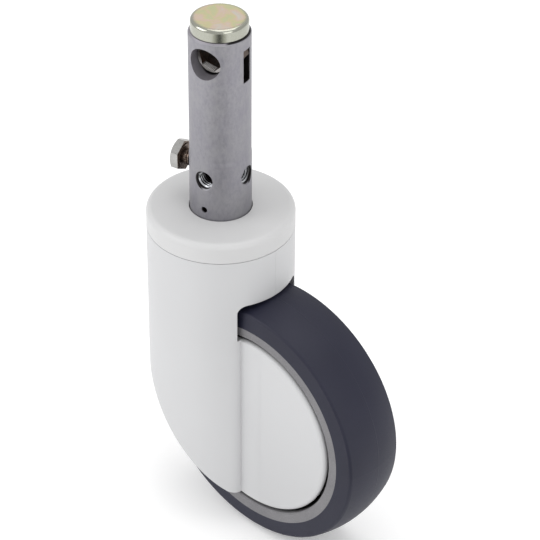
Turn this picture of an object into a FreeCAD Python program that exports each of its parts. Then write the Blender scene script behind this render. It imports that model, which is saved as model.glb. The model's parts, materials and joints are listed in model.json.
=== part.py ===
import FreeCAD, Part
import os
from math import cos, radians, sin, sqrt

# A stem castor for a hospital bed or trolley, with a central lock. Millimetres, +Z up.
# The origin is on the swivel axis, at the plane where the stem leaves the top cover.
# +X points to the trailing wheel, and the wheel's axle lies along Y.
V = FreeCAD.Vector
X, Y, Z = V(1, 0, 0), V(0, 1, 0), V(0, 0, 1)

# Stem: a 28 mm pin with cross holes, turned on its axis against the fork
STEM_R = 13.75  # the stem above the fixing bolt
FOOT_R = 13.95  # its thicker foot
FOOT_TOP = 28.0
FOOT_TAPER = 2.0
STEM_TOP = 89.6
STEM_TURN = 12.0  # degrees from the fork's axes to the stem's cross holes
ROD_BORE_R = 5.2
THREAD_Z = 19.8  # the M8 cross threads
THREAD_R = 4.0
THREAD_CORE_R = 3.35
THREAD_MOUTH_R = 4.8
PIN_HOLE_Z = 4.7
PIN_R = 1.5
PLUG_R = 12.75
PLUG_SPIGOT_R = 9.0
PLUG_SPIGOT_H = 2.0
PLUG_TOP = 95.7

# Lock cam and push rod
CAM_Z = 78.75
CAM_BORE_R = 7.45
HEX_SOCKET = 11.0  # across flats, for the bed's hexagonal lock bar
SLEEVE_HEX = 12.2
SLEEVE_HALF = 7.0
JOURNAL_FAR, JOURNAL_NEAR = -4.5, -2.5  # the sleeve's journal, along the lock bar
CLIP_NEAR, CLIP_FAR = 2.45, 3.25
CAM_TWIST = 14.0  # how far the hexagon stands turned from a corner pointing down
CAM_HUB_R = 8.0
CAM_HALF = 2.3
POCKET_HALF = 2.6
POCKET_R = 8.7
SLOT_LOW, SLOT_HIGH = 67.8, 83.8
CAM_RANGE = 60.0  # degrees from released to fully locked
ROD_TRAVEL = 2.2
CAM_LIFT = 8.1  # from the cam's axis to its flat, at rest
ROD_R = 5.1
CONTACT_GAP = 0.05

# Swivel bearings, 25 x 42 x 9, one above the other under the stem's shoulder
SHOULDER_Z = -4.6
JOURNAL_R = 12.5
HEAD_BORE_R = 21.0
SWIVEL_BEARING_W = 9.0
SWIVEL_SPACER_W = 3.0
STEM_BOTTOM = -28.0

# The push rod ends in a collar for its spring, a toothed disc and a domed nut
ROD_TOP = CAM_Z - CAM_LIFT - CONTACT_GAP
ROD_WAIST_R = 3.0
ROD_THIN_R = 3.0
SPRING_CHAMBER_R = 8.6
CHAMBER_TOP = -8.0
COLLAR_TOP = CHAMBER_TOP - 0.2
COLLAR_H = 1.6
SEAT_R = 9.3
SEAT_LOW = -25.4
SEAT_H = 1.2
DISC_TOP = STEM_BOTTOM - 0.6
LOCK_DISC_H = 2.0
TOOTH_COUNT = 24
TOOTH_TIP_R, TOOTH_ROOT_R = 11.0, 9.4
ROD_TIP = -35.2
ROD_THREAD_END = -33.4

# Lock ring: a toothed cup with a flange under the lower bearing
LOCK_RING_TOP = -25.6
LOCK_RING_FLANGE = 1.0
LOCK_CUP_R = 17.3
LOCK_CUP_WALL = 1.2

# Housing and cover
HOUSING_R = 33.6
HOUSING_WALL = 2.6
SEAM_Z = -9.6
SEAM_GAP = 0.3
WINDOW_HALF = 18.87
WINDOW_TOP = -33.7
WINDOW_CORNER = 4.0
HOOD_BOTTOM = -142.0
CUT_FRONT = (-33.6, -73.1)  # the lower edge in X and Z: it slants down from the front,
CUT_BACK = (25.1, -140.2)  # and is nearly level from here
CUT_END = (27.8, -141.7)  # to the side disc
FLOOR_TOP, FLOOR_BOTTOM = -26.4, -29.4
LEDGE_H = 2.5
HOUSING_SCREW_X = 27.8
SCREW_R = 1.9

# Wheel, 125 x 33, and its axle
WHEEL_X, WHEEL_Z = 34.5, -97.5
WHEEL_R = 62.5
TYRE_SEAT_R = 51.7
WHEEL_HALF = 16.6
RIM_INNER_R = 46.75
HUB_HALF = 9.4
HUB_R = 17.0
WEB_HALF = 2.5
AXLE_R = 6.0
LEG_IN, LEG_OUT = 9.9, 12.2  # the fork's legs inside the wheel's dish
DISC_R = 45.05
DISC_FACE = 17.05
DISC_BACK = 14.7
DISC_EDGE_R = 2.0
ROLL_R = 7.0  # the hood's surface rolls in to the disc with this radius

# Brake lever
LEVER_X, LEVER_Z = -21.0, -36.5
LEVER_PIN_R = 2.5
LEVER_ANGLE = 6.0
SHOE_GAP = 0.3
LEVER_HALF = 8.8


def tube(r_out, r_in, low, high):
    body = Part.makeCylinder(r_out, high - low, V(0, 0, low))
    return body.cut(Part.makeCylinder(r_in, high - low, V(0, 0, low))) if r_in else body


def cross_cylinder(r, near, far, x=WHEEL_X, z=WHEEL_Z):
    """A cylinder along Y, from y = near to y = far."""
    low, high = min(near, far), max(near, far)
    return Part.makeCylinder(r, high - low, V(x, low, z), Y)


def box(x, y, z):
    """A box from three (low, high) pairs, in any order of each pair."""
    (x0, x1), (y0, y1), (z0, z1) = (sorted(pair) for pair in (x, y, z))
    return Part.makeBox(x1 - x0, y1 - y0, z1 - z0, V(x0, y0, z0))


def prism_xz(points, near, far):
    """A polygon in XZ, extruded from y = near to y = far."""
    low, high = min(near, far), max(near, far)
    corners = [V(x, low, z) for x, z in points]
    return Part.Face(Part.makePolygon(corners + corners[:1])).extrude(V(0, high - low, 0))


def spin_z(points):
    """A polygon of (radius, z) points turned about the swivel axis."""
    corners = [V(r, 0, z) for r, z in points]
    return Part.Face(Part.makePolygon(corners + corners[:1])).revolve(V(0, 0, 0), Z, 360)


def about_wheel(shape):
    """Take a shape turned about Z, at the origin, to the wheel's axle, with its Z along Y."""
    shape = shape.copy()
    shape.rotate(V(0, 0, 0), X, -90)
    shape.translate(V(WHEEL_X, 0, WHEEL_Z))
    return shape


def turned(shape, degrees=STEM_TURN):
    shape = shape.copy()
    shape.rotate(V(0, 0, 0), Z, degrees)
    return shape


def hexagon(across_flats, near, far, twist, z):
    """A hexagonal bar along Y, with one corner turned by twist degrees from straight down."""
    corner = across_flats / sqrt(3)
    angles = [radians(twist - 90 + 60 * k) for k in range(6)]
    return prism_xz([(corner * cos(a), z + corner * sin(a)) for a in angles], near, far)


def ring_of(shape, count, first=0.0):
    """Copies of a shape, spaced evenly about the swivel axis."""
    return [turned(shape, first + 360 * k / count) for k in range(count)]


def joined(shapes):
    whole = shapes[0]
    for shape in shapes[1:]:
        whole = whole.fuse(shape)
    return whole.removeSplitter()


def save(name, shape):
    if isinstance(shape, list):
        shape = Part.makeCompound(shape)
    shape.exportStep(f"parts/{name}.step")


# The stem's own pieces are drawn with their cross holes along X and Y, and then turned.


def stem_tube():
    groove = JOURNAL_R - 0.8
    spacer = SWIVEL_SPACER_W
    bearings_end = SHOULDER_Z - 2 * SWIVEL_BEARING_W - spacer
    profile = [
        (ROD_BORE_R, STEM_TOP - PLUG_SPIGOT_H),
        (PLUG_SPIGOT_R, STEM_TOP - PLUG_SPIGOT_H),
        (PLUG_SPIGOT_R, STEM_TOP),
        (STEM_R - 0.8, STEM_TOP),
        (STEM_R, STEM_TOP - 0.8),
        (STEM_R, FOOT_TOP + FOOT_TAPER),
        (FOOT_R, FOOT_TOP),
        (FOOT_R, SHOULDER_Z),
        (JOURNAL_R, SHOULDER_Z),
        (JOURNAL_R, bearings_end),
        (groove, bearings_end),
        (groove, bearings_end - 1.2),
        (JOURNAL_R, bearings_end - 1.2),
        (JOURNAL_R, STEM_BOTTOM),
        (SPRING_CHAMBER_R, STEM_BOTTOM),
        (SPRING_CHAMBER_R, CHAMBER_TOP),
        (ROD_BORE_R, CHAMBER_TOP),
    ]
    stem = spin_z(profile)
    stem = stem.cut(tube(SEAT_R, 0, SEAT_LOW - 1.1, SEAT_LOW))
    stem = stem.cut(cross_cylinder(CAM_BORE_R, -20, 20, 0, CAM_Z))
    stem = stem.cut(box((-5.6, 20), (-POCKET_HALF, POCKET_HALF), (SLOT_LOW, SLOT_HIGH)))
    stem = stem.cut(cross_cylinder(POCKET_R, -POCKET_HALF, POCKET_HALF, 0, CAM_Z))
    for direction in (V(1, 0, 0), V(-1, 0, 0), V(0, -1, 0)):
        start = V(0, 0, THREAD_Z)
        stem = stem.cut(Part.makeCylinder(THREAD_R, 20, start, direction))
        depth = THREAD_MOUTH_R - THREAD_R
        mouth = start + direction * (FOOT_R - depth)
        stem = stem.cut(Part.makeCone(THREAD_R, THREAD_MOUTH_R + 1, depth + 1, mouth, direction))
    return stem.cut(Part.makeCylinder(PIN_R, 20, V(0, 0, PIN_HOLE_Z), V(0, -1, 0)))


def end_plug():
    bevel = 2.0
    rim_top = PLUG_TOP - 1.5
    low = STEM_TOP
    foot = low - PLUG_SPIGOT_H
    mid = V(PLUG_R - 0.55, 0, PLUG_TOP - 0.45)
    edges = [
        Part.LineSegment(V(0, 0, foot), V(PLUG_SPIGOT_R, 0, foot)),
        Part.LineSegment(V(PLUG_SPIGOT_R, 0, foot), V(PLUG_SPIGOT_R, 0, low)),
        Part.LineSegment(V(PLUG_SPIGOT_R, 0, low), V(PLUG_R - 0.4, 0, low)),
        Part.LineSegment(V(PLUG_R - 0.4, 0, low), V(PLUG_R, 0, low + 0.4)),
        Part.LineSegment(V(PLUG_R, 0, low + 0.4), V(PLUG_R, 0, rim_top)),
        Part.Arc(V(PLUG_R, 0, rim_top), mid, V(PLUG_R - bevel, 0, PLUG_TOP)),
        Part.LineSegment(V(PLUG_R - bevel, 0, PLUG_TOP), V(0, 0, PLUG_TOP)),
        Part.LineSegment(V(0, 0, PLUG_TOP), V(0, 0, foot)),
    ]
    wire = Part.Wire([edge.toShape() for edge in edges])
    return Part.Face(wire).revolve(V(0, 0, 0), Z, 360)


def fixing_bolt():
    """An M8 hexagon bolt in the thread on the stem's front side, screwed in part of the way.

    Its shank has the thread's core radius where it stands clear of the stem.
    """
    screw_end, mouth, washer_low, head_low, head_high = 5.6, 13.0, 18.0, 18.4, 22.7
    corner_r, chamfer_r, chamfer_h = 7.51, 6.2, 0.75
    head_turn = 1.0

    def round_part(r, near, far):
        start = V(-near, 0, THREAD_Z)
        return Part.makeCylinder(r, far - near, start, V(-1, 0, 0))

    bar = hexagon(13.0, head_low, head_high, head_turn, 0)
    dome = Part.makeCone(corner_r, chamfer_r, chamfer_h, V(0, head_high - chamfer_h, 0), Y)
    below = cross_cylinder(9, head_low, head_high - chamfer_h, 0, 0)
    head = bar.common(below.fuse(dome))
    head.rotate(V(0, 0, 0), Z, 90)
    head.translate(V(0, 0, THREAD_Z))
    washer = round_part(5.8, washer_low, head_low)
    shank = round_part(THREAD_CORE_R, mouth, washer_low)
    return joined([head, washer, shank, round_part(THREAD_R, screw_end, mouth)])


def rod_guide_pin():
    return Part.makeCylinder(PIN_R, 7.0, V(0, -2.2, PIN_HOLE_Z), V(0, -1, 0))


def cam_outline():
    """The cam's lobe and stop nose. The lobe is an involute: the rod sinks evenly as the cam turns."""
    rise = ROD_TRAVEL / radians(CAM_RANGE)
    curve = []
    for step in range(13):
        turn = radians(CAM_RANGE) * step / 12
        facing = turn - radians(90)
        reach = CAM_LIFT + rise * turn
        curve.append(
            V(reach * cos(facing) - rise * sin(facing), 0, reach * sin(facing) + rise * cos(facing))
        )
    lobe = Part.BSplineCurve()
    lobe.interpolate(curve)
    nose_r = 13.3
    nose = [V(nose_r * cos(radians(a)), 0, nose_r * sin(radians(a))) for a in (6.5, 13, 20)]
    flank = curve[-1] + V(0.5, 0, 0.866) * 3.2
    top = V(4.5, 0, 4.6)
    start = V(0, 0, -CAM_LIFT)
    edges = [
        lobe,
        Part.LineSegment(curve[-1], flank),
        Part.LineSegment(flank, nose[0]),
        Part.Arc(*nose),
        Part.LineSegment(nose[2], top),
        Part.LineSegment(top, V(0, 0, 0)),
        Part.LineSegment(V(0, 0, 0), start),
        Part.LineSegment(start, curve[0]),
    ]
    return Part.Face(Part.Wire([edge.toShape() for edge in edges]))


def lock_cam():
    lobe = cam_outline()
    lobe.translate(V(0, -CAM_HALF, CAM_Z))
    lobe = lobe.extrude(V(0, 2 * CAM_HALF, 0))
    hub = cross_cylinder(CAM_HUB_R, -CAM_HALF, CAM_HALF, 0, CAM_Z)
    bore = hexagon(SLEEVE_HEX + 0.1, -5, 5, CAM_TWIST, CAM_Z)
    return joined([hub, lobe]).cut(bore)


def hex_sleeve():
    """The sleeve that the bed's lock bar passes through, with a journal on its outer side."""
    bar = hexagon(SLEEVE_HEX, -SLEEVE_HALF, SLEEVE_HALF, CAM_TWIST, CAM_Z)
    journal = cross_cylinder(CAM_BORE_R - 0.07, JOURNAL_FAR, JOURNAL_NEAR, 0, CAM_Z)
    face = cross_cylinder(6.85, -SLEEVE_HALF, JOURNAL_FAR, 0, CAM_Z)
    whole = joined([bar.common(cross_cylinder(6.85, -9, 9, 0, CAM_Z)), journal, face])
    near, far = CLIP_NEAR - 0.05, CLIP_FAR + 0.05
    groove = cross_cylinder(9, near, far, 0, CAM_Z).cut(cross_cylinder(6.55, near, far, 0, CAM_Z))
    socket = hexagon(HEX_SOCKET, -9, 9, CAM_TWIST, CAM_Z)
    return whole.cut(groove).cut(socket)


def sleeve_clip():
    ring = cross_cylinder(7.3, CLIP_NEAR, CLIP_FAR, 0, CAM_Z)
    ring = ring.cut(cross_cylinder(6.6, CLIP_NEAR, CLIP_FAR, 0, CAM_Z))
    return ring.cut(box((-1, 1), (0, 5), (CAM_Z, 99)))


def push_rod():
    lands = [tube(ROD_R, 0, COLLAR_TOP, 11), tube(ROD_R, 0, 58, ROD_TOP)]
    waist = tube(ROD_WAIST_R, 0, 11, 58)
    collar = tube(SPRING_CHAMBER_R - 0.2, 0, COLLAR_TOP - COLLAR_H, COLLAR_TOP)
    thin = tube(ROD_THIN_R, 0, ROD_THREAD_END, COLLAR_TOP)
    keyway = box((-1.6, 1.6), (-9, -2.0), (PIN_HOLE_Z - 1.8, PIN_HOLE_Z + 1.8 + ROD_TRAVEL))
    return joined(lands + [waist, collar, thin]).cut(keyway)


def teeth(r_from, r_to, width_from, width_to, low, high):
    """Straight-flanked teeth between two radii, one at each pitch about the swivel axis."""
    corners = [
        V(r_from, -width_from / 2, low),
        V(r_to, -width_to / 2, low),
        V(r_to, width_to / 2, low),
        V(r_from, width_from / 2, low),
    ]
    tooth = Part.Face(Part.makePolygon(corners + corners[:1])).extrude(V(0, 0, high - low))
    return ring_of(tooth, TOOTH_COUNT)


def lock_disc():
    low, high = DISC_TOP - LOCK_DISC_H, DISC_TOP
    body = tube(TOOTH_ROOT_R, ROD_THIN_R, low, high)
    points = teeth(TOOTH_ROOT_R - 0.3, TOOTH_TIP_R - 0.2, 1.35, 0.75, low, high)
    return joined([body] + points)


def rod_nut():
    """A domed nut that holds the disc on the rod and presses on the brake lever."""
    top = DISC_TOP - LOCK_DISC_H
    dome = Part.makeSphere(5.0, V(0, 0, ROD_TIP + 5.0))
    above = tube(8, 0, ROD_TIP + 2.4, top)
    nut = hex_column(10.0, ROD_TIP, top).common(above.fuse(dome))
    return nut.cut(tube(ROD_THIN_R, 0, ROD_THREAD_END, 0))


def hex_column(across_flats, low, high):
    corner = across_flats / sqrt(3)
    points = [V(corner * cos(radians(60 * k)), corner * sin(radians(60 * k)), low) for k in range(6)]
    return Part.Face(Part.makePolygon(points + points[:1])).extrude(V(0, 0, high - low))


def coil(r, wire_r, low, high, turns):
    """A round-wire spring along Z, with its ends cut by the wire's own radius."""
    rise = high - low - 2 * wire_r
    path = Part.makeHelix(rise / turns, rise, r)
    path.translate(V(0, 0, low + wire_r))
    loop = Part.Wire(Part.makeCircle(wire_r, V(r, 0, low + wire_r), Y))
    return path.makePipeShell([loop], True, True)


def rod_return_spring():
    return coil(5.4, 0.75, SEAT_LOW + SEAT_H + 0.05, COLLAR_TOP - COLLAR_H - 0.05, 5)


def spring_seat():
    return tube(SPRING_CHAMBER_R - 0.05, ROD_THIN_R + 0.3, SEAT_LOW, SEAT_LOW + SEAT_H)


def split_ring(r_out, r_in, low, high, gap):
    """A spring ring with a gap on its rear side."""
    return tube(r_out, r_in, low, high).cut(box((0, 99), (-gap / 2, gap / 2), (low - 1, high + 1)))


# Ball bearings are built about Z at the origin, from z = 0 to z = width.


def bearing_pieces(bore_r, outer_r, width, ball_r, pitch_r, count):
    land = 0.62 * ball_r
    middle = width / 2
    track = Part.makeTorus(pitch_r, ball_r + 0.03, V(0, 0, middle))
    inner = tube(pitch_r - land, bore_r, 0, width).cut(track)
    outer = tube(outer_r, pitch_r + land, 0, width).cut(track)
    balls = ring_of(Part.makeSphere(ball_r, V(pitch_r, 0, middle)), count)
    cage_half = ball_r + 0.7
    cage = tube(pitch_r + 0.5, pitch_r - 0.5, middle - cage_half, middle + cage_half)
    opening = Part.makeCylinder(ball_r + 0.06, 3, V(pitch_r - 1.5, 0, middle), X)
    for pocket in ring_of(opening, count):
        cage = cage.cut(pocket)
    return {"inner_race": inner, "outer_race": outer, "balls": balls, "cage": cage}


def placed(shape, move):
    return [move(part) for part in shape] if isinstance(shape, list) else move(shape)


def lifted(z):
    def move(shape):
        shape = shape.copy()
        shape.translate(V(0, 0, z))
        return shape

    return move


def swivel_bearings():
    pieces = bearing_pieces(JOURNAL_R, HEAD_BORE_R, SWIVEL_BEARING_W, 2.2, 16.75, 14)
    top = SHOULDER_Z - SWIVEL_BEARING_W
    bottom = top - SWIVEL_SPACER_W - SWIVEL_BEARING_W
    for side, z in (("upper", top), ("lower", bottom)):
        for name, shape in pieces.items():
            save(f"{side}_bearing_{name}", placed(shape, lifted(z)))
    save("inner_race_spacer", tube(15.0, JOURNAL_R, top - SWIVEL_SPACER_W, top))
    save("outer_race_spacer", tube(HEAD_BORE_R, 18.6, top - SWIVEL_SPACER_W, top))


def bearing_seal():
    """A lip seal on the upper bearing's outer race, against the stem's foot."""
    edge = HEAD_BORE_R - 2.1
    lip = tube(edge, FOOT_R + 0.1, SHOULDER_Z + 0.2, SHOULDER_Z + 1.1)
    return joined([lip, tube(edge, edge - 0.6, SHOULDER_Z, SHOULDER_Z + 0.2)])


def wheel_bearings():
    width = 8.0
    pieces = bearing_pieces(AXLE_R, 14.0, width, 2.38, 10.0, 8)
    for side, low in (("right", -HUB_HALF), ("left", HUB_HALF - width)):
        shift = lifted(low)
        for name, shape in pieces.items():
            save(f"{side}_wheel_bearing_{name}", placed(shape, lambda part: about_wheel(shift(part))))


# The fork is a die-cast frame. Two plastic half housings and a cover close it.


def leg(side):
    outer = prism_xz(
        [(-14, FLOOR_TOP), (22.5, FLOOR_TOP), (22.5, -98), (11, -98), (2, -62), (-14, -42)],
        side * 17.5,
        side * 20.5,
    )
    bridge = box((9, 22.5), (side * LEG_IN, side * 20.5), (-112, -70))
    blade = prism_xz(
        [(9, -73), (22.5, -73), (44, -87), (48, -97.5), (44, -108), (22.5, -112), (9, -112)],
        side * LEG_IN,
        side * LEG_OUT,
    )
    eye = cross_cylinder(14, side * LEG_IN, side * LEG_OUT)
    dish = cross_cylinder(42.5, side * (LEG_IN - 1), side * 25)
    return joined([outer, joined([bridge, blade, eye]).common(dish)])


def lever_lug(side):
    near, far = side * 9.6, side * 13.0
    plate = box((LEVER_X - 5, LEVER_X + 5), (near, far), (LEVER_Z, FLOOR_BOTTOM))
    return joined([plate, cross_cylinder(5, near, far, LEVER_X, LEVER_Z)])


def fork_frame():
    head = spin_z(
        [
            (HEAD_BORE_R, -2.6),
            (HEAD_BORE_R, -3.2),
            (HEAD_BORE_R + 0.9, -3.2),
            (HEAD_BORE_R + 0.9, SHOULDER_Z),
            (HEAD_BORE_R, SHOULDER_Z),
            (HEAD_BORE_R, LOCK_RING_TOP - LOCK_RING_FLANGE),
            (LOCK_CUP_R + 0.1, LOCK_RING_TOP - LOCK_RING_FLANGE),
            (LOCK_CUP_R + 0.1, FLOOR_BOTTOM),
            (30.7, FLOOR_BOTTOM),
            (30.7, FLOOR_TOP),
            (24.5, FLOOR_TOP),
            (24.5, -2.6),
        ]
    )
    gusset = Part.Face(
        Part.makePolygon([V(24, 0, -8), V(24, 0, FLOOR_TOP), V(30, 0, FLOOR_TOP), V(24, 0, -8)])
    ).extrude(V(0, 2.4, 0))
    gusset.translate(V(0, -1.2, 0))
    frame = joined([head] + ring_of(gusset, 4) + [leg(1), leg(-1), lever_lug(1), lever_lug(-1)])
    frame = frame.cut(cross_cylinder(AXLE_R, -20, 20))
    frame = frame.cut(cross_cylinder(LEVER_PIN_R, -20, 20, LEVER_X, LEVER_Z))
    frame = frame.cut(tube(HEAD_BORE_R, 0, LOCK_RING_TOP - LOCK_RING_FLANGE, FLOOR_TOP))
    frame = frame.cut(lock_ring_key(0.1))
    for hole in housing_screw_holes():
        frame = frame.cut(hole)
    return frame


def housing_screw_holes():
    hole = Part.makeCylinder(SCREW_R, 12, V(HOUSING_SCREW_X, 0, FLOOR_BOTTOM - 1))
    return ring_of(hole, 4, 45)


def housing_screws():
    """Four pan-head screws that hold the half housings' ledge on the fork's floor."""
    seat = FLOOR_TOP + LEDGE_H
    head_h = 2.2
    shank = Part.makeCylinder(SCREW_R, LEDGE_H + 2.9, V(HOUSING_SCREW_X, 0, seat), -Z)
    head = Part.makeCylinder(3.1, head_h, V(HOUSING_SCREW_X, 0, seat))
    socket = Part.makeCylinder(1.0, 1.2, V(HOUSING_SCREW_X, 0, seat + head_h - 1.2))
    return ring_of(joined([shank, head]).cut(socket), 4, 45)


def below_hood():
    """All that lies under the hood's slanted lower edge."""
    (x0, z0), (x1, z1) = CUT_FRONT, CUT_BACK
    before = x0 - 10
    deep = HOOD_BOTTOM - 20
    start = z0 + (before - x0) * (z1 - z0) / (x1 - x0)
    return prism_xz([(before, start), CUT_BACK, CUT_END, (CUT_END[0], deep), (before, deep)], -60, 60)


def hood():
    """The cylinder of the housing with its wheel window, slanted lower edge and inner ledge."""
    top = SEAM_Z - SEAM_GAP / 2
    shell = tube(HOUSING_R, HOUSING_R - HOUSING_WALL, HOOD_BOTTOM, top)
    ledge = tube(HOUSING_R - HOUSING_WALL + 0.2, 25.0, FLOOR_TOP, FLOOR_TOP + LEDGE_H)
    for gusset in ring_of(box((20, 40), (-1.6, 1.6), (FLOOR_TOP - 1, FLOOR_TOP + 6)), 4):
        ledge = ledge.cut(gusset)
    whole = shell.fuse(ledge).cut(below_hood())
    far = 60
    corner = WINDOW_CORNER
    window = box((0, far), (-WINDOW_HALF, WINDOW_HALF), (HOOD_BOTTOM - 5, WINDOW_TOP - corner))
    window = window.fuse(
        box((0, far), (corner - WINDOW_HALF, WINDOW_HALF - corner), (-50, WINDOW_TOP))
    )
    for y in (corner - WINDOW_HALF, WINDOW_HALF - corner):
        window = window.fuse(Part.makeCylinder(corner, far, V(0, y, WINDOW_TOP - corner), X))
    return whole.cut(window)


def side_disc(side):
    """The flat disc beside the wheel, with a rounded edge and a lip that reaches into the rim."""
    edge_r = DISC_EDGE_R
    inset = edge_r * (1 - sqrt(0.5))
    lip_in, lip_out = DISC_R - 3.2, DISC_R - 1.6
    corner = V(DISC_R - inset, 0, DISC_FACE - inset)
    edges = [
        Part.LineSegment(V(0, 0, DISC_BACK), V(lip_in, 0, DISC_BACK)),
        Part.LineSegment(V(lip_in, 0, DISC_BACK), V(lip_in, 0, LEG_OUT)),
        Part.LineSegment(V(lip_in, 0, LEG_OUT), V(lip_out, 0, LEG_OUT)),
        Part.LineSegment(V(lip_out, 0, LEG_OUT), V(lip_out, 0, DISC_BACK)),
        Part.LineSegment(V(lip_out, 0, DISC_BACK), V(DISC_R, 0, DISC_BACK)),
        Part.LineSegment(V(DISC_R, 0, DISC_BACK), V(DISC_R, 0, DISC_FACE - edge_r)),
        Part.Arc(V(DISC_R, 0, DISC_FACE - edge_r), corner, V(DISC_R - edge_r, 0, DISC_FACE)),
        Part.LineSegment(V(DISC_R - edge_r, 0, DISC_FACE), V(0, 0, DISC_FACE)),
        Part.LineSegment(V(0, 0, DISC_FACE), V(0, 0, DISC_BACK)),
    ]
    disc = Part.Face(Part.Wire([edge.toShape() for edge in edges])).revolve(V(0, 0, 0), Z, 360)
    if side < 0:
        disc.rotate(V(0, 0, 0), X, 180)
    disc = about_wheel(disc).cut(box((-99, 24.5), (-99, 99), (-200, 0)))
    # the step that joins the disc to the hood
    step = box((24.5, CUT_END[0]), (side * DISC_BACK, side * 33), (-160, -50))
    step = step.common(tube(HOUSING_R, 0, -200, 0)).common(cross_cylinder(DISC_R, -40, 40))
    return joined([disc, step]).cut(below_hood())


def hood_corner(side):
    """The corner to take off where the hood's outside rolls in to the step."""
    x = CUT_END[0] - ROLL_R
    y = sqrt((HOUSING_R - ROLL_R) ** 2 - x * x)
    low, high = -160, WHEEL_Z + sqrt(DISC_R**2 - (CUT_END[0] - WHEEL_X) ** 2)
    reach = 20 / (HOUSING_R - ROLL_R)
    corners = [V(x, y, low), V(x + x * reach, y + y * reach, low), V(x + 20, y, low)]
    wedge = Part.Face(Part.makePolygon(corners + corners[:1])).extrude(V(0, 0, high - low))
    wedge = wedge.cut(Part.makeCylinder(ROLL_R, high - low, V(x, y, low)))
    return wedge if side > 0 else wedge.mirror(V(0, 0, 0), Y)


def housing_half(side):
    half = box((-99, 199), (side * 0.04, side * 99), (-200, 50))
    whole = hood().common(half).fuse(side_disc(side)).cut(hood_corner(side)).removeSplitter()
    for hole in housing_screw_holes():
        whole = whole.cut(hole)
    return whole


def top_cover():
    round_r = 2.8
    gap = 0.4
    seam = SEAM_Z + SEAM_GAP / 2
    inner = HOUSING_R - HOUSING_WALL
    mid = V(HOUSING_R - round_r * 0.2929, 0, -round_r * 0.2929)
    corners = [
        (HOUSING_R - round_r, 0),
        (FOOT_R + gap, 0),
        (FOOT_R + gap, -2.2),
        (inner, -2.2),
        (inner - 1.8, -4.4),
        (inner - 1.8, seam - 2.6),
        (inner - 0.1, seam - 2.6),
        (inner - 0.1, seam),
        (HOUSING_R, seam),
        (HOUSING_R, -round_r),
    ]
    corners = [V(r, 0, z) for r, z in corners]
    edges = [Part.LineSegment(a, b).toShape() for a, b in zip(corners, corners[1:])]
    edges.append(Part.Arc(corners[-1], mid, corners[0]).toShape())
    return Part.Face(Part.Wire(edges)).revolve(V(0, 0, 0), Z, 360)


def lock_ring_key(clearance):
    """The tab that stops the lock ring turning in the fork's head."""
    half = 1.5 + clearance
    top = LOCK_RING_TOP + clearance
    return box((-22.6 - clearance, -19), (-half, half), (LOCK_RING_TOP - LOCK_RING_FLANGE, top))


def lock_ring():
    """A cup clamped under the lower bearing. The disc drops between its teeth to stop the swivel."""
    low = DISC_TOP - LOCK_DISC_H - 0.4 - 2.0
    high = low + 2.0
    under = LOCK_RING_TOP - LOCK_RING_FLANGE
    cup = spin_z(
        [
            (TOOTH_TIP_R + 0.1, low),
            (LOCK_CUP_R - 0.1, low),
            (LOCK_CUP_R - 0.1, under),
            (HEAD_BORE_R - 0.1, under),
            (HEAD_BORE_R - 0.1, LOCK_RING_TOP),
            (LOCK_CUP_R - LOCK_CUP_WALL, LOCK_RING_TOP),
            (LOCK_CUP_R - LOCK_CUP_WALL, high),
            (TOOTH_TIP_R + 0.1, high),
        ]
    )
    points = teeth(TOOTH_ROOT_R + 0.3, TOOTH_TIP_R + 0.5, 0.55, 1.15, low, high)
    shifted = [turned(point, 180 / TOOTH_COUNT) for point in points]
    return joined([cup, lock_ring_key(0)] + shifted)


# The wheel is turned about its axle.


def tyre():
    shoulder = V(60.2, 0, 14.6)
    side, corner = V(58.7, 0, 15.95), V(59.75, 0, 15.5)
    points = [
        V(TYRE_SEAT_R - 1.5, 0, -6),
        V(TYRE_SEAT_R - 1.5, 0, 6),
        V(TYRE_SEAT_R, 0, 6),
        V(TYRE_SEAT_R, 0, WHEEL_HALF),
        side,
    ]
    edges = [Part.LineSegment(a, b).toShape() for a, b in zip(points, points[1:])]
    edges.append(Part.Arc(side, corner, shoulder).toShape())
    far_side, far_corner, far_shoulder = [V(v.x, 0, -v.z) for v in (side, corner, shoulder)]
    edges.append(Part.Arc(shoulder, V(WHEEL_R, 0, 0), far_shoulder).toShape())
    edges.append(Part.Arc(far_shoulder, far_corner, far_side).toShape())
    corners = [far_side, V(TYRE_SEAT_R, 0, -WHEEL_HALF), V(TYRE_SEAT_R, 0, -6), points[0]]
    edges += [Part.LineSegment(a, b).toShape() for a, b in zip(corners, corners[1:])]
    return about_wheel(Part.Face(Part.Wire(edges)).revolve(V(0, 0, 0), Z, 360))


def wheel_rim():
    half = [
        (TYRE_SEAT_R - 1.5, 6),
        (TYRE_SEAT_R, 6),
        (TYRE_SEAT_R, WHEEL_HALF),
        (RIM_INNER_R + 0.6, WHEEL_HALF - 0.1),
        (RIM_INNER_R, WHEEL_HALF - 0.7),
        (RIM_INNER_R - 1.0, WEB_HALF),
        (HUB_R, WEB_HALF),
        (HUB_R, HUB_HALF),
        (14.0, HUB_HALF),
        (14.0, 1.4),
        (12.0, 1.4),
    ]
    profile = half + [(r, -y) for r, y in reversed(half)]
    rim = spin_z(profile)
    rib = box((HUB_R - 1, RIM_INNER_R), (-1.2, 1.2), (-8.8, 8.8))
    return about_wheel(joined([rim] + ring_of(rib, 10, 18)))


def axle():
    bar = cross_cylinder(AXLE_R, -LEG_OUT - 1.15, LEG_OUT + 1.15)
    for side in (-1, 1):
        near, far = side * LEG_OUT, side * (LEG_OUT + 0.8)
        bar = bar.cut(cross_cylinder(8, near, far).cut(cross_cylinder(4.9, near, far)))
    return bar


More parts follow.
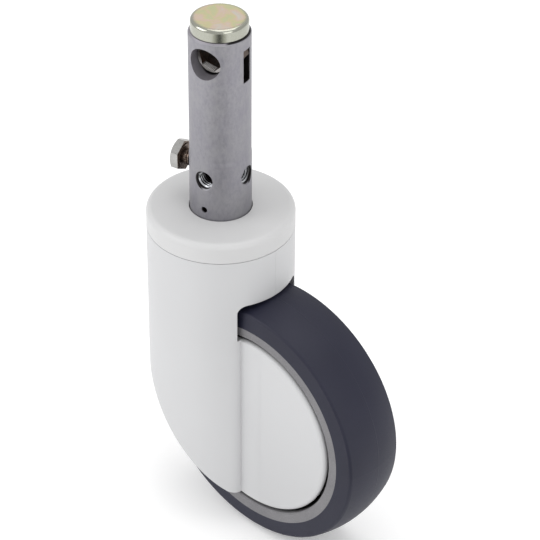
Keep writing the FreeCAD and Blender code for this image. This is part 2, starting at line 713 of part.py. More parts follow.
def axle_clips():
    clips = []
    for side in (-1, 1):
        near, far = side * LEG_OUT, side * (LEG_OUT + 0.8)
        ring = cross_cylinder(8.2, near, far).cut(cross_cylinder(4.9, near, far))
        clips.append(ring.cut(box((WHEEL_X - 2, WHEEL_X + 2), (near, far), (WHEEL_Z, 0))))
    return clips


def axle_washers():
    return [
        cross_cylinder(8.0, side * HUB_HALF, side * LEG_IN).cut(
            cross_cylinder(AXLE_R, side * HUB_HALF, side * LEG_IN)
        )
        for side in (-1, 1)
    ]


def wheel_bearing_spacer():
    return cross_cylinder(8.0, -1.4, 1.4).cut(cross_cylinder(AXLE_R, -1.4, 1.4))


# The brake lever hangs on a pin in front of the swivel axis, and the rod presses on its button.


def brake_lever():
    bar = box((LEVER_X, 3), (-LEVER_HALF, LEVER_HALF), (-40.0, -36.4))
    eye = cross_cylinder(4.6, -LEVER_HALF, LEVER_HALF, LEVER_X, LEVER_Z)
    button = Part.makeCone(4.0, 1.6, 1.1, V(0, 0, -36.4))
    toe = prism_xz([(-17, -40), (-9, -40), (-9, -46), (-12, -46)], -LEVER_HALF, LEVER_HALF)
    lever = joined([bar, eye, button, toe])
    lever = lever.cut(cross_cylinder(LEVER_PIN_R + 0.05, -20, 20, LEVER_X, LEVER_Z))
    notch = box((LEVER_X - 6, LEVER_X + 7), (-4.2, 4.2), (LEVER_Z - 6, LEVER_Z + 6))
    under_bar = box((LEVER_X + 3, -8.5), (-4.2, 4.2), (-47, -40))
    return lever.cut(notch).cut(under_bar)


def brake_shoe():
    """Shaped against the tread with the lever pressed, and then swung back to rest."""
    back = box((-9, 2.6), (-8, 8), (-60, -39))
    shoe = back.cut(cross_cylinder(WHEEL_R + SHOE_GAP, -20, 20))
    shoe.rotate(V(LEVER_X, 0, LEVER_Z), Y, -LEVER_ANGLE)
    return shoe.common(box((-8.9, 3), (-8, 8), (-60, -40)))


def lever_pin():
    return cross_cylinder(LEVER_PIN_R, -14, 14, LEVER_X, LEVER_Z)


def lever_spring():
    """A torsion spring about the lever's pin: its coil, a leg on the fork and a leg on the lever."""
    wire_r = 0.6
    coil_r = LEVER_PIN_R + 0.9
    ring = coil(coil_r, wire_r, -3.6, 3.6, 5)
    ring.rotate(V(0, 0, 0), X, -90)
    ring.translate(V(LEVER_X, 0, LEVER_Z))
    ends = 3.6 - wire_r
    fork_leg = Part.makeCylinder(wire_r, 5.9, V(LEVER_X, ends, LEVER_Z + coil_r), V(-0.9, 0, 0.42))
    lever_leg = Part.makeCylinder(wire_r, 10, V(LEVER_X, -ends, LEVER_Z - coil_r), V(1, 0, -0.21))
    return joined([ring, fork_leg, lever_leg])


def build():
    os.makedirs("parts", exist_ok=True)
    save("stem_tube", turned(stem_tube()))
    save("end_plug", end_plug())
    save("fixing_bolt", turned(fixing_bolt()))
    save("rod_guide_pin", turned(rod_guide_pin()))
    bearings_end = SHOULDER_Z - 2 * SWIVEL_BEARING_W - SWIVEL_SPACER_W
    save("stem_circlip", split_ring(14.4, JOURNAL_R - 0.8, bearings_end - 1.1, bearings_end, 4))
    save("spring_seat", spring_seat())
    save("spring_seat_circlip", split_ring(SEAT_R, 7.0, SEAT_LOW - 1.1, SEAT_LOW, 4))
    save("rod_return_spring", rod_return_spring())
    save("lock_cam", turned(lock_cam()))
    save("hex_sleeve", turned(hex_sleeve()))
    save("sleeve_clip", turned(sleeve_clip()))
    save("push_rod", turned(push_rod()))
    save("lock_disc", lock_disc())
    save("rod_nut", rod_nut())
    swivel_bearings()
    save("fork_frame", fork_frame())
    save("right_housing", housing_half(-1))
    save("left_housing", housing_half(1))
    save("top_cover", top_cover())
    save("head_circlip", split_ring(HEAD_BORE_R + 0.9, 19.0, -4.5, -3.3, 5))
    save("bearing_seal", bearing_seal())
    save("lock_ring", lock_ring())
    save("housing_screws", housing_screws())
    save("lever_pin", lever_pin())
    save("brake_lever", brake_lever())
    save("brake_shoe", brake_shoe())
    save("lever_spring", lever_spring())
    save("tyre", tyre())
    save("wheel_rim", wheel_rim())
    wheel_bearings()
    save("wheel_bearing_spacer", wheel_bearing_spacer())
    save("axle", axle())
    save("axle_clips", axle_clips())
    save("axle_washers", axle_washers())


build()
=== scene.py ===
import json
from math import copysign, cos, pi, radians, sin, tau

import bmesh
import bpy
from mathutils import Matrix, Vector


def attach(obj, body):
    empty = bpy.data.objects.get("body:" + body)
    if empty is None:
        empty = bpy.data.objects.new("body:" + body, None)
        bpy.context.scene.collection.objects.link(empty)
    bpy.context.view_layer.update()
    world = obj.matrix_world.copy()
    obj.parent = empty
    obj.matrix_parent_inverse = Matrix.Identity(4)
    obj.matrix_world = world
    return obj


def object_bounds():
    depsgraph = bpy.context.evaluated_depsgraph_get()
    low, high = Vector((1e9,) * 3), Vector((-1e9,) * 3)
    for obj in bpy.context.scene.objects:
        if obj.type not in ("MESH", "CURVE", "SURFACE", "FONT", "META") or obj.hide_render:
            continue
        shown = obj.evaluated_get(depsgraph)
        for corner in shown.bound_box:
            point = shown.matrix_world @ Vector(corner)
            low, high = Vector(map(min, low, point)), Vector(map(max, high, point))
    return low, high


MM = 0.001
STEM_TURN = radians(12)  # the stem's cross holes stand this far round from the fork
HOOD_INNER_R = 31.0 * MM
RIM_INNER_R = 46.75 * MM
WHEEL_X, WHEEL_Z = 34.5 * MM, -97.5 * MM
CAM_Z, SOCKET_HALF, SLEEVE_END = 78.75 * MM, 5.5 * MM, 7.0 * MM
FLAT_ANGLE = radians(-106)  # the socket's flat that catches the light, from the stem's side axis
THREAD_Z, THREAD_R, THREAD_CORE_R, THREAD_PITCH = 19.8 * MM, 4.0 * MM, 3.35 * MM, 1.25 * MM
THREAD_FROM, THREAD_TO, BOLT_THREAD_TO = 5.4 * MM, 13.1 * MM, 17.95 * MM


def band(start, full):
    """Where a look starts and where it is full, in metres, from millimetres."""
    return start * MM, full * MM


STEM_BORE = band(13.55, 13.30)  # distance from the swivel axis
KEYHOLE_WALL = band(7.6, 8.8)  # distance from the swivel axis
KEYHOLE_HEIGHT = band(60, 62)
KEYHOLE_SIDE = band(10.0, 8.5)  # along the stem's side axis; the slot, further out, keeps the painted shade
HOLE_MOUTH = band(4.9, 4.7)  # distance from a tapped hole's axis
HOLE_OUTSIDE = band(10.0, 11.5)  # along a tapped hole's axis
HOLE_SHADED_SIDE = band(0.2, 2.2)  # across a tapped hole's axis
# painted shade on the stem, from this height down to the foot
STEM_SHADE_HEIGHT = band(70, 0)
THREAD_RIGHT_BRIGHT = band(8.0, 11.2)  # distance from the swivel axis
THREAD_REAR_BRIGHT = band(12.8, 11.8)  # distance from the swivel axis
CAP_FLAT = band(12.2, 10.2)  # distance from the swivel axis
CAP_FLAT_HEIGHT = band(95.3, 95.6)
BOLT_FACE = band(18.70, 18.42)  # along the bolt's axis
LIT_FLAT = band(5.36, 5.46)  # distance from the socket's axis
LIT_FLAT_END = band(-3.4, -4.2)  # along the socket's axis
SLEEVE_LIT = band(0, -5)  # height above the socket's axis
HOOD_END_X = band(24.55, 24.45)  # the side disc starts here
LOW_DISC_X = band(25, 45)
LOW_DISC_HEIGHT = band(-60, -140)
PARTING_LINE = band(0.28, 0.12)  # distance from the wheel's middle plane

BORE_SHADE = (0.010, 0.008, 0.009)  # painted shade in the stem's bores and tapped holes
HOOD_INNER_SHADE = (0.012, 0.012, 0.013)  # painted shade on the hood's inner walls
DISH_SHADE = (0.016, 0.015, 0.016)  # painted shade on the rim's dish behind the disc
LOW_DISC_SHADE = 0.91  # painted shade: the share of the plastic's colour that is left low on the disc
MIX_A, MIX_B, MIX_RESULT = 6, 7, 2  # a Mix node's colour sockets

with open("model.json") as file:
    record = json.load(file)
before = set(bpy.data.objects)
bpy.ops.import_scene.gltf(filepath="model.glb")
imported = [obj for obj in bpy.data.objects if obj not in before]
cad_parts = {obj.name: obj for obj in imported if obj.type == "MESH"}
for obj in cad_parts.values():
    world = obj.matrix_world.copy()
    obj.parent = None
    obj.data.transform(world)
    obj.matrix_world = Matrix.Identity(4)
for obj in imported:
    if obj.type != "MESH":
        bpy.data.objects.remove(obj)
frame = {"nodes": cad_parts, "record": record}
cad_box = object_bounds()
nodes = frame["nodes"]


# ---------------------------------------------------------------- camera

AZIMUTH, ELEVATION, ROLL = radians(42.763), radians(35.355), radians(0.224)
FOCAL_LENGTH, SENSOR_WIDTH = 164.26, 36
SHIFT_X, SHIFT_Y = 0.0218, 0.0064
DISTANCE, TO_THE_RIGHT, UPWARD = 1.10314, 0.01676, -0.03124  # the camera's place from the origin


def add_camera():
    back = Vector((sin(AZIMUTH) * cos(ELEVATION), -cos(AZIMUTH) * cos(ELEVATION), sin(ELEVATION)))
    right = Vector((cos(AZIMUTH), sin(AZIMUTH), 0))
    up = back.cross(right)
    tilted_right = cos(ROLL) * right + sin(ROLL) * up
    tilted_up = cos(ROLL) * up - sin(ROLL) * right
    data = bpy.data.cameras.new("camera")
    data.sensor_width = SENSOR_WIDTH
    data.lens = FOCAL_LENGTH
    data.shift_x, data.shift_y = SHIFT_X, SHIFT_Y
    data.clip_start, data.clip_end = 0.05, 20
    camera = bpy.data.objects.new("camera", data)
    bpy.context.scene.collection.objects.link(camera)
    place = DISTANCE * back + TO_THE_RIGHT * tilted_right + UPWARD * tilted_up
    turn = Matrix((tilted_right, tilted_up, back)).transposed().to_4x4()
    camera.matrix_world = Matrix.Translation(place) @ turn
    bpy.context.scene.camera = camera


# ---------------------------------------------------------------- materials


class Nodes:
    """Short helper for building a node tree around a Principled shader."""

    def __init__(self, name):
        self.material = bpy.data.materials.new(name)
        self.material.use_nodes = True
        self.tree = self.material.node_tree
        self.shader = self.tree.nodes["Principled BSDF"]

    def add(self, kind, **values):
        node = self.tree.nodes.new(kind)
        for key, value in values.items():
            if hasattr(node, key):
                setattr(node, key, value)
            else:
                node.inputs[key.replace("_", " ")].default_value = value
        return node

    def link(self, source, target):
        self.tree.links.new(source, target)

    def set(self, **values):
        for key, value in values.items():
            self.shader.inputs[key.replace("_", " ")].default_value = value

    def coords(self, scale=(1, 1, 1)):
        source = self.add("ShaderNodeTexCoord")
        mapping = self.add("ShaderNodeMapping")
        mapping.inputs["Scale"].default_value = scale
        self.link(source.outputs["Object"], mapping.inputs["Vector"])
        return mapping.outputs["Vector"]

    def noise(self, coords, scale, detail, roughness=0.5, distortion=0.0):
        node = self.add("ShaderNodeTexNoise")
        node.inputs["Scale"].default_value = scale
        node.inputs["Detail"].default_value = detail
        node.inputs["Roughness"].default_value = roughness
        node.inputs["Distortion"].default_value = distortion
        self.link(coords, node.inputs["Vector"])
        return node.outputs["Fac"]

    def ramp(self, value, stops):
        node = self.add("ShaderNodeValToRGB")
        elements = node.color_ramp.elements
        while len(elements) < len(stops):
            elements.new(0.5)
        for element, (place, color) in zip(elements, stops):
            element.position = place
            element.color = (*color, 1)
        self.link(value, node.inputs["Fac"])
        return node.outputs["Color"]

    def map_range(self, value, ends, kind="LINEAR"):
        node = self.add("ShaderNodeMapRange", interpolation_type=kind)
        for key, number in zip(("From Min", "From Max", "To Min", "To Max"), ends):
            node.inputs[key].default_value = number
        self.link(value, node.inputs["Value"])
        return node.outputs["Result"]

    def remap(self, value, low, high, out_low, out_high):
        return self.map_range(value, (low, high, out_low, out_high))

    def step(self, value, start, full):
        """Rises smoothly from 0 at start to 1 at full, also where full is below start."""
        ends = (start, full, 0, 1) if start < full else (full, start, 1, 0)
        return self.map_range(value, ends, "SMOOTHSTEP")

    def mix(self, factor, a, b):
        node = self.add("ShaderNodeMix", data_type="RGBA")
        self.link(factor, node.inputs["Factor"])
        for socket, source in ((node.inputs[MIX_A], a), (node.inputs[MIX_B], b)):
            if isinstance(source, tuple):
                socket.default_value = (*source, 1)
            else:
                self.link(source, socket)
        return node.outputs[MIX_RESULT]

    def math(self, operation, a, b=0.0):
        node = self.add("ShaderNodeMath", operation=operation)
        for socket, source in zip(node.inputs, (a, b)):
            if isinstance(source, (int, float)):
                socket.default_value = source
            else:
                self.link(source, socket)
        return node.outputs[0]

    def both(self, a, b):
        """1 where both masks are 1."""
        return self.math("MULTIPLY", a, b)

    def distance(self, a, b):
        """The distance from a line that is a and b away along two axes."""
        square = self.math("ADD", self.math("MULTIPLY", a, a), self.math("MULTIPLY", b, b))
        return self.math("SQRT", square)

    def place(self):
        """The point's place on the object, and its distance from the swivel axis, in metres."""
        split = self.add("ShaderNodeSeparateXYZ")
        self.link(self.coords(), split.inputs[0])
        x, y, z = split.outputs
        return x, y, z, self.distance(x, y)

    def stem_place(self):
        """The point's place along the stem's two cross holes, and its height, in metres."""
        x, y, z, _ = self.place()
        c, s = cos(STEM_TURN), sin(STEM_TURN)
        side = self.math("ADD", self.math("MULTIPLY", x, c), self.math("MULTIPLY", y, s))
        along = self.math("SUBTRACT", self.math("MULTIPLY", y, c), self.math("MULTIPLY", x, s))
        return side, along, z

    def wheel_radius(self):
        """The point's distance from the wheel's axle, in metres."""
        x, _, z, _ = self.place()
        return self.distance(self.math("SUBTRACT", x, WHEEL_X), self.math("SUBTRACT", z, WHEEL_Z))

    def bump(self, layers):
        """Stack bump layers of (height, strength, distance in metres)."""
        normal = None
        for height, strength, distance in layers:
            node = self.add("ShaderNodeBump")
            node.inputs["Strength"].default_value = strength
            node.inputs["Distance"].default_value = distance
            self.link(height, node.inputs["Height"])
            if normal:
                self.link(normal, node.inputs["Normal"])
            normal = node.outputs["Normal"]
        self.link(normal, self.shader.inputs["Normal"])

    def color(self, socket):
        self.link(socket, self.shader.inputs["Base Color"])

    def rough(self, socket):
        self.link(socket, self.shader.inputs["Roughness"])


def hood_painted_shade(m, color, base):
    """Painted shade: dark inner walls behind the hood, and a disc that is a shade darker low down.
    """
    x, _, height, radius = m.place()
    inner = m.step(radius, HOOD_INNER_R + 0.5 * MM, HOOD_INNER_R + 0.1 * MM)
    color = m.mix(m.both(inner, m.step(x, *HOOD_END_X)), color, HOOD_INNER_SHADE)
    painted_low_shade = m.both(m.step(x, *LOW_DISC_X), m.step(height, *LOW_DISC_HEIGHT))
    return m.mix(painted_low_shade, color, tuple(c * LOW_DISC_SHADE for c in base))


def plastic(name, base, add_painted_shade=None):
    """Moulded plastic: a fine eroded texture, faint flow clouds and a soft sheen."""
    spread = 0.010
    m = Nodes(name)
    at = m.coords()
    clouds = m.noise(at, 22, 3, 0.5)
    fine = m.noise(at, 5200, 2, 0.6)
    dark = tuple(c * (1 - spread) for c in base)
    light = tuple(min(1, c * (1 + spread)) for c in base)
    color = m.ramp(clouds, [(0.3, dark), (0.7, light)])
    if add_painted_shade:
        color = add_painted_shade(m, color, base)
    m.color(color)
    m.rough(m.remap(fine, 0.3, 0.7, 0.37, 0.49))
    m.bump([(fine, 0.10, 0.06 * MM), (clouds, 0.02, 0.4 * MM)])
    m.set(IOR=1.46)
    return m.material


def metal(name, dark, light, rough_low, rough_high, scale=900, metallic=1.0):
    """Plated or machined metal: mottled colour, uneven gloss and fine marks."""
    m = Nodes(name)
    at = m.coords()
    broad = m.noise(at, scale * 0.12, 4, 0.6)
    fine = m.noise(at, scale, 4, 0.6)
    m.color(m.ramp(broad, [(0.3, dark), (0.7, light)]))
    m.rough(m.remap(fine, 0.3, 0.7, rough_low, rough_high))
    m.bump([(fine, 0.12, 0.08 * MM)])
    m.set(Metallic=metallic)
    return m.material


def stem_zinc():
    """Tumbled grey zinc, with painted shade growing towards the foot. Painted shade fills the
    bores, but not the keyhole's wall, and darkens one side of each tapped hole's mouth.
    """
    m = Nodes("stem_zinc")
    at = m.coords((1, 1, 0.55))
    patches = m.noise(at, 110, 5, 0.62, 0.6)
    blotches = m.noise(at, 700, 5, 0.7)
    fine = m.noise(at, 2600, 3, 0.6)
    plate = m.ramp(
        patches,
        [
            (0.32, (0.272, 0.265, 0.300)),
            (0.50, (0.296, 0.290, 0.316)),
            (0.68, (0.314, 0.310, 0.328)),
        ],
    )
    marks_and_painted_light = m.mix(m.remap(blotches, 0.50, 0.70, 0, 0.5), plate, (0.38, 0.375, 0.39))
    marks_and_painted_light = m.mix(m.remap(blotches, 0.50, 0.32, 0, 0.4), marks_and_painted_light, (0.185, 0.180, 0.210))
    _, _, height, radius = m.place()
    # painted shade, darker towards the foot
    marks_and_painted_light = m.mix(m.remap(height, *STEM_SHADE_HEIGHT, 0, 0.30), marks_and_painted_light, (0.135, 0.133, 0.146))
    side, along, _ = m.stem_place()
    over = m.math("SUBTRACT", height, THREAD_Z)
    # painted shade on one side of each tapped hole's mouth
    for across, outward, shaded in ((side, m.math("MULTIPLY", along, -1), -1), (along, side, 1)):
        mouth = m.step(m.distance(across, over), *HOLE_MOUTH)
        mouth = m.both(mouth, m.step(outward, *HOLE_OUTSIDE))
        shade = m.step(m.math("MULTIPLY", across, shaded), *HOLE_SHADED_SIDE)
        marks_and_painted_light = m.mix(m.both(mouth, shade), marks_and_painted_light, BORE_SHADE)
    keyhole = m.both(m.step(height, *KEYHOLE_HEIGHT), m.step(side, *KEYHOLE_SIDE))
    keyhole = m.both(keyhole, m.step(radius, *KEYHOLE_WALL))
    # painted shade in the bores, but not on the keyhole's wall
    bore = m.mix(keyhole, BORE_SHADE, (0.30, 0.285, 0.315))
    m.color(m.mix(m.step(radius, *STEM_BORE), marks_and_painted_light, bore))
    m.rough(m.remap(blotches, 0.3, 0.7, 0.42, 0.6))
    m.bump([(blotches, 0.16, 0.14 * MM), (fine, 0.14, 0.06 * MM)])
    m.set(Metallic=0.6)
    return m.material


def cut_thread(name, bright_band, metallic):
    """Bright cut metal where the light reaches into a tapped hole, dark elsewhere."""
    m = Nodes(name)
    at = m.coords()
    fine = m.noise(at, 1200, 3, 0.6)
    painted_lit = m.ramp(fine, [(0.3, (0.46, 0.47, 0.50)), (0.7, (0.66, 0.67, 0.70))])
    radius = m.place()[3]
    m.color(m.mix(m.step(radius, *bright_band), BORE_SHADE, painted_lit))
    m.rough(m.remap(fine, 0.3, 0.7, 0.16, 0.26))
    m.bump([(fine, 0.03, 0.05 * MM)])
    m.set(Metallic=metallic)
    return m.material


def plug_zinc():
    """Polished steel with yellow passivation, which shows pink and green tints on the flat top."""
    m = Nodes("plug_zinc")
    at = m.coords()
    film = m.noise(at, 105, 2, 0.5, 0.9)
    fine = m.noise(at, 1500, 3, 0.6)
    tint = m.ramp(
        film,
        [
            (0.30, (0.72, 0.68, 0.60)),
            (0.42, (0.78, 0.62, 0.50)),
            (0.50, (0.73, 0.66, 0.40)),
            (0.58, (0.66, 0.67, 0.41)),
            (0.66, (0.79, 0.60, 0.50)),
            (0.76, (0.70, 0.68, 0.64)),
        ],
    )
    _, _, height, radius = m.place()
    flat = m.both(m.step(radius, *CAP_FLAT), m.step(height, *CAP_FLAT_HEIGHT))
    polish = m.ramp(fine, [(0.3, (0.37, 0.375, 0.32)), (0.7, (0.43, 0.435, 0.38))])
    m.color(m.mix(flat, polish, tint))
    m.rough(m.mix(flat, (0.19, 0.19, 0.19), m.remap(fine, 0.3, 0.7, 0.30, 0.42)))
    m.bump([(fine, 0.05, 0.04 * MM)])
    m.set(Metallic=1.0)
    return m.material


def bolt_zinc():
    """Pale zinc on the head, darker brown on the thread and under the head."""
    m = Nodes("bolt_zinc")
    at = m.coords()
    broad = m.noise(at, 160, 4, 0.6)
    fine = m.noise(at, 900, 4, 0.6)
    pale = m.ramp(broad, [(0.3, (0.34, 0.335, 0.325)), (0.7, (0.45, 0.445, 0.435))])
    brown_under_head = m.ramp(fine, [(0.35, (0.055, 0.038, 0.030)), (0.65, (0.27, 0.215, 0.18))])
    outward = m.math("MULTIPLY", m.stem_place()[0], -1)
    m.color(m.mix(m.step(outward, *BOLT_FACE), pale, brown_under_head))
    m.rough(m.remap(fine, 0.3, 0.7, 0.24, 0.36))
    m.bump([(fine, 0.04, 0.08 * MM)])
    m.set(Metallic=1.0)
    return m.material


def sleeve_steel():
    """Painted light: lit steel on the lower part of the sleeve's outer end and on the broached flat
    near it that catches the light, shaded steel on the upper part of the end; dark brown further
    in.
    """
    m = Nodes("sleeve_steel")
    at = m.coords()
    fine = m.noise(at, 900, 4, 0.6)
    patches = m.noise(at, 500, 4, 0.6)
    rust = m.ramp(patches, [(0.35, (0.010, 0.005, 0.003)), (0.65, (0.045, 0.022, 0.014))])
    # painted shade and painted light: shaded and lit copies of the sleeve's steel
    painted_shaded = m.ramp(fine, [(0.3, (0.060, 0.055, 0.054)), (0.7, (0.095, 0.088, 0.086))])
    painted_lit = m.ramp(fine, [(0.3, (0.55, 0.53, 0.51)), (0.7, (0.72, 0.70, 0.68))])
    side, along, height = m.stem_place()
    over = m.math("SUBTRACT", height, CAM_Z)
    reach_side = m.math("MULTIPLY", side, cos(FLAT_ANGLE))
    reach = m.math("ADD", reach_side, m.math("MULTIPLY", over, sin(FLAT_ANGLE)))
    end = m.step(along, -SLEEVE_END + 0.10 * MM, -SLEEVE_END + 0.02 * MM)
    marks_and_painted_light = m.both(m.step(reach, *LIT_FLAT), m.step(along, *LIT_FLAT_END))
    lit = m.step(over, *SLEEVE_LIT)
    flat = m.ramp(fine, [(0.3, (0.30, 0.285, 0.275)), (0.7, (0.42, 0.405, 0.39))])
    m.color(m.mix(marks_and_painted_light, m.mix(end, rust, m.mix(lit, painted_shaded, painted_lit)), flat))
    m.rough(m.remap(fine, 0.3, 0.7, 0.50, 0.66))
    m.bump([(fine, 0.08, 0.06 * MM)])
    m.set(Metallic=0.2, Specular_IOR_Level=0.15)
    return m.material


def rim_plastic():
    """Grey glass-filled nylon with a fine light and dark speckle, and painted shade on the dish
    behind the disc.
    """
    m = Nodes("rim_plastic")
    at = m.coords()
    clouds = m.noise(at, 60, 3, 0.5)
    grains = m.noise(at, 1500, 3, 0.7)
    base = m.ramp(clouds, [(0.3, (0.150, 0.146, 0.156)), (0.7, (0.186, 0.182, 0.190))])
    light = m.mix(m.remap(grains, 0.56, 0.72, 0, 0.5), base, (0.34, 0.33, 0.34))
    speckled = m.mix(m.remap(grains, 0.44, 0.28, 0, 0.5), light, (0.06, 0.058, 0.065))
    dish = m.step(m.wheel_radius(), RIM_INNER_R - 0.02 * MM, RIM_INNER_R - 0.30 * MM)
    m.color(m.mix(dish, speckled, DISH_SHADE))
    m.rough(m.remap(grains, 0.3, 0.7, 0.42, 0.62))
    m.bump([(grains, 0.25, 0.1 * MM)])
    m.set(IOR=1.5)
    return m.material


def rubber(name, dark, light, roughness, parted=False):
    """Moulded rubber. Where it is parted, the mould's line shows round the middle."""
    m = Nodes(name)
    at = m.coords()
    broad = m.noise(at, 40, 3, 0.5)
    fine = m.noise(at, 2600, 3, 0.6)
    m.color(m.ramp(broad, [(0.3, dark), (0.7, light)]))
    m.rough(m.remap(fine, 0.3, 0.7, roughness - 0.06, roughness + 0.06))
    layers = [(fine, 0.12, 0.06 * MM)]
    if parted:
        off_middle = m.math("ABSOLUTE", m.place()[1])
        layers.append((m.step(off_middle, *PARTING_LINE), 0.5, 0.12 * MM))
    m.bump(layers)
    m.set(IOR=1.42)
    return m.material


def make_materials():
    made = {}
    made["stem"] = stem_zinc()
    made["plug"] = plug_zinc()
    made["bolt"] = bolt_zinc()
    made["cam"] = metal("cam_steel", (0.075, 0.058, 0.050), (0.15, 0.12, 0.105), 0.3, 0.45)
    made["sleeve"] = sleeve_steel()
    # painted highlight: the broach ridges are near white so that they read as glints
    made["broach"] = metal(
        "broached_steel_painted_highlight", (0.90, 0.88, 0.86), (0.97, 0.95, 0.93), 0.30, 0.42, metallic=0.1
    )
    made["thread_right"] = cut_thread("thread_near_mouth", THREAD_RIGHT_BRIGHT, 1.0)
    made["thread_rear"] = cut_thread("thread_deep", THREAD_REAR_BRIGHT, 0.2)
    made["spring"] = metal("spring_steel", (0.16, 0.16, 0.16), (0.24, 0.24, 0.24), 0.3, 0.45)
    made["bearing"] = metal("bearing_steel", (0.56, 0.56, 0.58), (0.66, 0.66, 0.67), 0.16, 0.26)
    made["screw"] = metal("screw_zinc", (0.50, 0.50, 0.51), (0.62, 0.62, 0.62), 0.25, 0.38)
    made["fork"] = metal("fork_casting", (0.06, 0.06, 0.06), (0.10, 0.10, 0.10), 0.45, 0.6, 500)
    made["housing"] = plastic("housing_plastic", (0.550, 0.552, 0.560), hood_painted_shade)
    made["cover"] = plastic("cover_plastic", (0.565, 0.565, 0.568))
    made["rim"] = rim_plastic()
    made["tyre"] = rubber("tyre_rubber", (0.0105, 0.011, 0.026), (0.0135, 0.014, 0.031), 0.54, True)
    made["seal"] = rubber("seal_rubber", (0.02, 0.02, 0.02), (0.03, 0.03, 0.03), 0.6)
    return made


SLOT_MATERIALS = {
    "stem_steel": "stem",
    "plug_zinc": "plug",
    "bolt_steel": "bolt",
    "cam_steel": "cam",
    "spring_steel": "spring",
    "bearing_steel": "bearing",
    "fork_metal": "fork",
    "housing_plastic": "housing",
    "cover_plastic": "cover",
    "seal_rubber": "seal",
    "screw_steel": "screw",
    "rim_plastic": "rim",
    "tyre_rubber": "tyre",
}
NODE_MATERIALS = {"hex_sleeve": "sleeve"}  # instead of the slot's material


def dress_cad_nodes(made):
    for entry in frame["record"]["subparts"]:
        node = nodes[entry["node"]]
        kind = NODE_MATERIALS.get(entry["node"], SLOT_MATERIALS[entry["material_slot"]])
        material = made[kind]
        if not node.material_slots:
            node.data.materials.append(material)
        for slot in node.material_slots:
            slot.material = material


# ---------------------------------------------------------------- floor and light


def rectangle(name, left, right, front, back, height=0.0):
    """A level rectangle, linked to the scene."""
    mesh = bpy.data.meshes.new(name)
    corners = [(left, front), (right, front), (right, back), (left, back)]
    mesh.from_pydata([(x, y, height) for x, y in corners], [], [(0, 1, 2, 3)])
    card = bpy.data.objects.new(name, mesh)
    bpy.context.scene.collection.objects.link(card)
    return card


def add_stage():
    """A pale floor just under the wheel, with a faint glow of its own."""
    gap, half = 0.4 * MM, 3.0
    floor = rectangle("floor", -half, half, -half, half, cad_box[0][2] - gap)
    m = Nodes("floor_paint")
    clouds = m.noise(m.coords(), 3, 2)
    m.color(m.ramp(clouds, [(0.3, (0.93, 0.93, 0.93)), (0.7, (0.95, 0.95, 0.95))]))
    m.set(Roughness=0.9, Emission_Color=(1, 1, 1, 1), Emission_Strength=0.16)
    floor.data.materials.append(m.material)


def area_light(name, place, target, size, power):
    data = bpy.data.lights.new(name, "AREA")
    data.shape = "RECTANGLE"
    data.size, data.size_y = size
    data.energy = power
    light = bpy.data.objects.new(name, data)
    bpy.context.scene.collection.objects.link(light)
    aim = (Vector(target) - Vector(place)).to_track_quat("-Z", "Y")
    light.matrix_world = Matrix.Translation(place) @ aim.to_matrix().to_4x4()


def add_light():
    world = bpy.data.worlds.new("studio")
    world.use_nodes = True
    background = world.node_tree.nodes["Background"]
    background.inputs["Color"].default_value = (1, 1, 1, 1)
    background.inputs["Strength"].default_value = 0.75
    bpy.context.scene.world = world
    bpy.context.scene.view_settings.view_transform = "Standard"
    middle = (0.01, 0, -0.03)
    area_light("key", (-0.75, -1.05, 0.75), middle, (0.9, 0.9), 7.5)
    area_light("side", (1.3, -0.35, 0.55), middle, (0.8, 1.0), 3.8)
    area_light("top", (0.1, 0.2, 1.4), middle, (1.2, 1.2), 6.5)


def add_flag():
    """A dark card on the floor towards the camera. Only glossy metal sees it."""
    near, far, half = 0.14, 0.62, 0.20
    flag = rectangle("flag", -half, half, -near, -far)
    floor_height = Matrix.Translation((0, 0, cad_box[0][2]))
    flag.matrix_world = floor_height @ Matrix.Rotation(AZIMUTH, 4, "Z")
    m = Nodes("flag_cloth")
    across = m.math("ABSOLUTE", m.place()[0])
    m.color(m.mix(m.step(across, 0.0, half), (0.02, 0.022, 0.018), (0.75, 0.75, 0.70)))
    m.set(Roughness=0.9)
    flag.data.materials.append(m.material)
    flag.visible_camera = flag.visible_diffuse = flag.visible_shadow = False


# ---------------------------------------------------------------- added pieces


def new_piece(name, build, material, body):
    """A mesh piece built by a bmesh function, riding on a body."""
    mesh = bpy.data.meshes.new(name)
    bm = bmesh.new()
    build(bm)
    bmesh.ops.recalc_face_normals(bm, faces=bm.faces)
    bm.to_mesh(mesh)
    bm.free()
    mesh.materials.append(material)
    piece = bpy.data.objects.new(name, mesh)
    bpy.context.scene.collection.objects.link(piece)
    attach(piece, body)


def closed_sweep(bm, sections):
    """Skin a list of closed sections of the same point count, and cap both ends."""
    rings = [[bm.verts.new(point) for point in section] for section in sections]
    count = len(rings[0])
    for a, b in zip(rings, rings[1:]):
        for k in range(count):
            bm.faces.new((a[k], a[(k + 1) % count], b[(k + 1) % count], b[k]))
    bm.faces.new(rings[0])
    bm.faces.new(rings[-1])


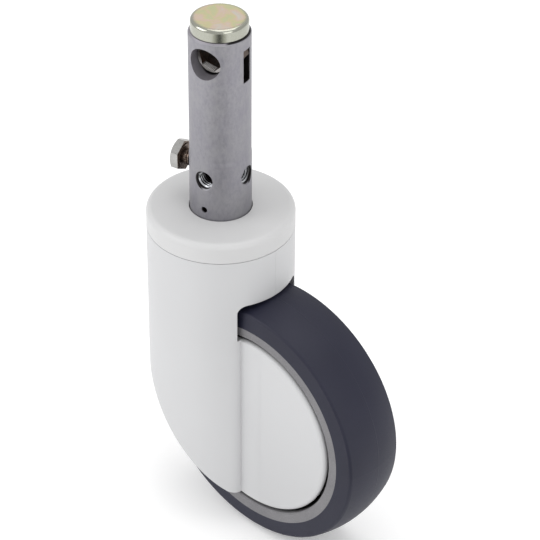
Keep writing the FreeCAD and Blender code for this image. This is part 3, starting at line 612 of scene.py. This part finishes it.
def thread_ridge(angle, start, end, root_r, crest_r):
    """The ridge of an M8 thread along the cross hole at this angle, from its root to its crest."""
    axis = Vector((0, 0, THREAD_Z))
    outward = Vector((cos(angle), sin(angle), 0))
    sideways = Vector((-sin(angle), cos(angle), 0))
    half_root, half_crest = 0.37 * THREAD_PITCH, 0.08 * THREAD_PITCH
    base = root_r + copysign(0.03 * MM, root_r - crest_r)
    steps_per_turn, fade_steps, least_fade = 40, 12, 0.05
    length = end - start - 2 * half_root
    count = round(length / THREAD_PITCH * steps_per_turn)

    def build(bm):
        sections = []
        for k in range(count + 1):
            turn = tau * k / steps_per_turn
            along = start + half_root + length * k / count
            fade = max(least_fade, min(1, k / fade_steps, (count - k) / fade_steps))
            radial = cos(turn) * sideways + Vector((0, 0, sin(turn)))
            top = root_r + (crest_r - root_r) * fade
            corners = ((-half_root, base), (-half_crest, top), (half_crest, top), (half_root, base))
            sections.append([axis + outward * (along + shift) + radial * r for shift, r in corners])
        closed_sweep(bm, sections)

    return build


def make_threads(made):
    for name, turn in (("thread_right", -pi / 2), ("thread_rear", 0)):
        ridge = thread_ridge(STEM_TURN + turn, THREAD_FROM, THREAD_TO, THREAD_R, THREAD_CORE_R)
        new_piece(name, ridge, made[name], "stem")
    ridge = thread_ridge(STEM_TURN + pi, THREAD_TO, BOLT_THREAD_TO, THREAD_CORE_R, THREAD_R)
    new_piece("bolt_thread", ridge, made["bolt"], "stem")


def broach_marks(bm):
    """Fine ridges along the socket's lower flat, near the sleeve's outer end."""
    c, s = cos(STEM_TURN), sin(STEM_TURN)
    normal = Vector((c * cos(FLAT_ANGLE), s * cos(FLAT_ANGLE), sin(FLAT_ANGLE)))
    across = Vector((-c * sin(FLAT_ANGLE), -s * sin(FLAT_ANGLE), cos(FLAT_ANGLE)))
    along = Vector((-s, c, 0))
    height, half_width, pitch, count = 0.20 * MM, 0.22 * MM, 0.62 * MM, 9
    base, near, far = SOCKET_HALF + 0.02 * MM, -SLEEVE_END + 0.05 * MM, -4.0 * MM
    axis = Vector((0, 0, CAM_Z))
    for k in range(count):
        middle = axis + across * pitch * (k - (count - 1) / 2)
        section = [
            middle + normal * base - across * half_width,
            middle + normal * (SOCKET_HALF - height),
            middle + normal * base + across * half_width,
        ]
        closed_sweep(bm, [[point + along * reach for point in section] for reach in (near, far)])


def make_broach_marks(made):
    new_piece("socket_broach_marks", broach_marks, made["broach"], "cam")


# ---------------------------------------------------------------- making

add_camera()
add_stage()
add_light()
add_flag()
materials = make_materials()
dress_cad_nodes(materials)
make_threads(materials)
make_broach_marks(materials)
